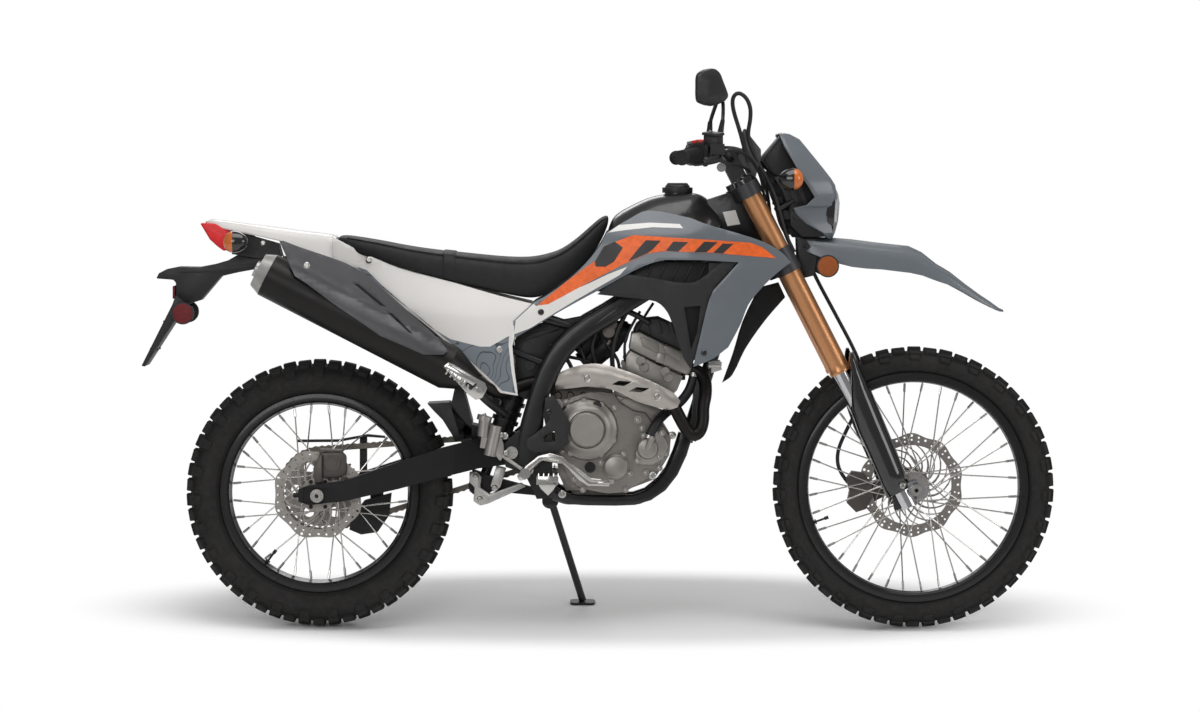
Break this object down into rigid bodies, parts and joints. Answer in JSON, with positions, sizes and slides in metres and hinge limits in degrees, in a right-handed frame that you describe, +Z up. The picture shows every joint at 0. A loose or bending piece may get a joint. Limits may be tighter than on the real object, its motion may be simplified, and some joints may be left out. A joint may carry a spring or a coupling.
{
  "type": "dual sport motorcycle",
  "caption": "Lightweight single cylinder dual sport motorcycle with long travel fork, spoked wheels and knobby tyres, parked leaning on its side stand.",
  "frame": {"origin": "on the floor under the middle of the bounding box", "axes": "+X forward, +Z up, +Y to the rider's left; the machine leans 9 degrees to +Y on its side stand"},
  "size_m": [2.217, 0.831, 1.3911],
  "materials": {
    "axle_steel": "zinc plated",
    "bar_black": "satin",
    "black_gloss": "gloss",
    "black_plastic": "textured",
    "caliper_dark": "cast",
    "cap_silver": "satin",
    "chain_steel": "satin",
    "clamp_grey": "satin",
    "disc_steel": "brushed",
    "engine_dark": "satin",
    "engine_grey": "cast",
    "exhaust_steel": "satin",
    "fork_chrome": "polished",
    "fork_gold": "anodised",
    "frame_black": "satin",
    "grip_rubber": "matte",
    "guard_grey": "satin",
    "hub_silver": "satin",
    "lens_amber": "gloss",
    "lens_clear": "clear",
    "lens_red": "gloss",
    "muffler_black": "satin",
    "panel_grey": "gloss",
    "panel_white": "gloss",
    "radiator_alloy": "matte",
    "rim_black": "satin",
    "seat_vinyl": "grained",
    "shield_steel": "satin",
    "spring_steel": "satin",
    "swingarm_metal": "satin",
    "tank_black": "gloss",
    "tyre_rubber": "matte"
  },
  "bodies": {
    "chassis": {"swingarm": "swingarm_metal", "rear_axle": "axle_steel", "chain": "chain_steel", "chain_guards": "black_plastic", "frame": "frame_black", "subframe": "frame_black", "shock": "spring_steel", "shock_linkage": "swingarm_metal", "engine_cases": "engine_grey", "engine_covers": "engine_dark", "cylinder": "engine_grey", "cylinder_head": "engine_grey", "intake": "black_plastic", "exhaust_pipe": "exhaust_steel", "muffler": "muffler_black", "muffler_cap": "cap_silver", "muffler_guard": "guard_grey", "heat_shield": "shield_steel", "fuel_tank": "tank_black", "tank_cap": "black_plastic", "seat": "seat_vinyl", "shrouds": "panel_grey", "shroud_inserts": "black_plastic", "side_panels": "panel_white", "tail_cowl": "panel_white", "tail_lamp": "lens_red", "radiator": "radiator_alloy", "plate_holder": "black_plastic", "rear_indicators": "lens_amber", "rider_pegs": "axle_steel", "foot_levers": "axle_steel", "rear_mudguards": "black_plastic", "rear_brake": "caliper_dark"},
    "side_stand": {"side_stand": "frame_black"},
    "steering": {"triple_clamps": "clamp_grey", "fork_tubes": "fork_gold", "fork_legs": "fork_chrome", "fork_guards": "black_gloss", "front_axle": "axle_steel", "handlebar": "bar_black", "grips": "grip_rubber", "hand_controls": "black_plastic", "mirrors": "black_plastic", "headlight_lens": "lens_clear", "headlight_cowl": "panel_grey", "headlight_housing": "black_plastic", "front_indicators": "lens_amber", "front_fender": "panel_grey", "front_caliper": "caliper_dark"},
    "front_wheel": {"front_tyre": "tyre_rubber", "front_rim": "rim_black", "front_hub": "hub_silver", "front_disc": "disc_steel"},
    "rear_wheel": {"rear_tyre": "tyre_rubber", "rear_rim": "rim_black", "rear_hub": "hub_silver", "rear_disc": "disc_steel", "rear_sprocket": "disc_steel"}
  },
  "joints": [
    {"name": "rear_wheel_spin", "type": "hinge", "parent": "chassis", "child": "rear_wheel", "pos_m": [-0.6795, -0.12833, 0.3235], "axis": [0, 0.9877, -0.1564], "continuous": true},
    {"name": "steering", "type": "hinge", "parent": "chassis", "child": "steering", "pos_m": [0.39083, -0.03251, 0.92844], "axis": [-0.4571, 0.1391, 0.8785], "range_deg": [-45, 45]},
    {"name": "front_wheel_spin", "type": "hinge", "parent": "steering", "child": "front_wheel", "pos_m": [0.7655, -0.12551, 0.34128], "axis": [0, 0.9877, -0.1564], "continuous": true},
    {"name": "side_stand_fold", "type": "hinge", "parent": "chassis", "child": "side_stand", "pos_m": [-0.1195, -0.02162, 0.28129], "axis": [0, 0.9703, 0.2419], "range_deg": [0, 100]}
  ]
}
